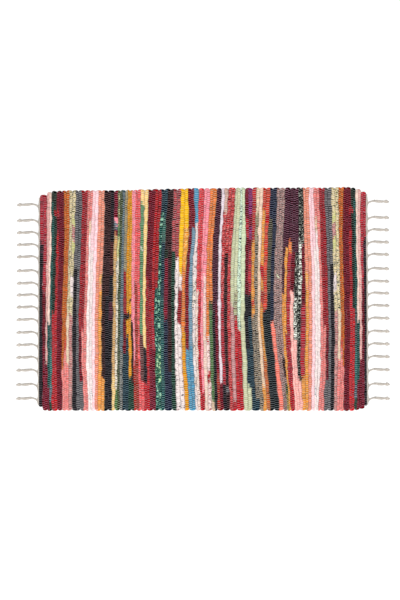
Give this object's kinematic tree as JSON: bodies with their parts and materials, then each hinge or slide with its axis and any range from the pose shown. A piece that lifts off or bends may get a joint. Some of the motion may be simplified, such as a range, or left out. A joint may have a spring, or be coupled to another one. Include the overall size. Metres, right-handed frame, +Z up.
{
  "type": "woven rag rug with knotted fringe",
  "caption": "Flat rectangular rag rug in plain weave with many coloured stripes, scalloped selvedges and a knotted cotton fringe at both short ends.",
  "frame": {"origin": "on the floor under the middle of the rug, with its fringe", "axes": "+X along the rug's length from one fringe to the other, +Y across it from the near selvedge to the far one, +Z up"},
  "size_m": [1.0188, 0.6096, 0.0066],
  "materials": {
    "rag_cloth": "rough cotton rags in many dyed colours, woven in stripes",
    "cotton_cord": "unbleached twisted cotton warp"
  },
  "bodies": {
    "root": {"woven_cloth": "rag_cloth", "fringe_left": "cotton_cord", "fringe_right": "cotton_cord"}
  },
  "joints": []
}
